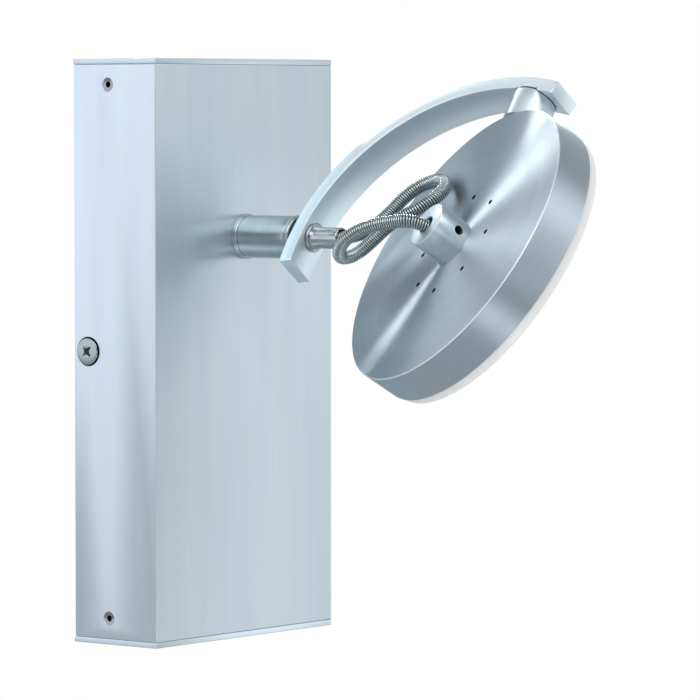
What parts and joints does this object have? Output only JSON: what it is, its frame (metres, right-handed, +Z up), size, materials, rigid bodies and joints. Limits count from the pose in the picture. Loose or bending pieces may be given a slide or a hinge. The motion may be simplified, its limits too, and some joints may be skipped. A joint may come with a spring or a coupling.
{
  "type": "pivoting spotlight wall light",
  "caption": "Wall light with a slim box housing, a bow arm that turns on a front barrel and a round flat LED head that tilts in the bow.",
  "frame": {"origin": "on the wall plane, at the middle of the four wall slots of the bracket", "axes": "+X to the right seen by someone facing the wall, +Y into the wall, +Z up"},
  "size_m": [0.1224, 0.2337, 0.25],
  "materials": {
    "brushed_aluminium": "brushed, clear anodised",
    "bright_chrome": "polished",
    "stainless_steel": "turned stainless steel",
    "zinc_plated_steel": "zinc plated",
    "black_nylon": "moulded nylon",
    "black_rubber": "moulded rubber",
    "white_plastic": "moulded, fine grain",
    "circuit_board": "lacquered board",
    "ferrite": "sintered ferrite",
    "brass": "turned brass",
    "green_insulation": "flexible PVC",
    "brown_insulation": "flexible PVC",
    "white_insulation": "silicone",
    "grey_pad": "silicone pad",
    "white_board": "white solder mask on aluminium",
    "led_phosphor": "phosphor in silicone",
    "opal_acrylic": "opal acrylic, satin face"
  },
  "bodies": {
    "base": {"housing_shell": "brushed_aluminium", "top_cap": "brushed_aluminium", "bottom_cap": "brushed_aluminium", "cap_screws": "stainless_steel", "side_screws": "zinc_plated_steel", "wall_bracket": "zinc_plated_steel", "ear_nuts": "zinc_plated_steel", "entry_grommet": "black_rubber", "bracket_screws": "zinc_plated_steel", "driver_case": "white_plastic", "driver_lid": "white_plastic", "driver_board": "circuit_board", "driver_transformer": "ferrite", "driver_capacitors": "black_nylon", "terminal_block": "white_plastic", "terminal_screws": "brass", "earth_screw": "brass", "earth_tag": "brass", "earth_lead": "green_insulation", "mains_leads": "brown_insulation", "output_lead": "white_insulation", "barrel_flange": "brushed_aluminium", "barrel": "brushed_aluminium", "barrel_collar": "brushed_aluminium", "barrel_nut": "zinc_plated_steel", "stop_pin": "stainless_steel"},
    "arm": {"arm_bow": "brushed_aluminium", "saddle_washer": "black_nylon", "hollow_bolt": "bright_chrome", "friction_washer": "black_nylon", "spring_washer": "stainless_steel", "stop_washer": "zinc_plated_steel", "pivot_nut": "zinc_plated_steel", "lock_nut": "zinc_plated_steel", "pivot_flex": "white_insulation", "tilt_washer": "black_nylon", "conduit": "bright_chrome"},
    "head": {"post": "brushed_aluminium", "tilt_screw": "stainless_steel", "tilt_spring": "stainless_steel", "post_screw": "stainless_steel", "head_shell": "brushed_aluminium", "hub": "brushed_aluminium", "hub_set_screw": "stainless_steel", "hub_nut": "zinc_plated_steel", "thermal_pad": "grey_pad", "led_board": "white_board", "leds": "led_phosphor", "board_screws": "zinc_plated_steel", "diffuser": "opal_acrylic", "head_leads": "white_insulation"}
  },
  "joints": [
    {"name": "arm_turn", "type": "hinge", "parent": "base", "child": "arm", "pos_m": [0, -0.06, 0.0485], "axis": [0, -1, 0], "range_deg": [-124, 196]},
    {"name": "head_tilt", "type": "hinge", "parent": "arm", "child": "head", "pos_m": [-0.00388, -0.1691, 0.04316], "axis": [0.5878, 0, 0.809], "range_deg": [-137, 3], "deforming": ["conduit"]}
  ]
}
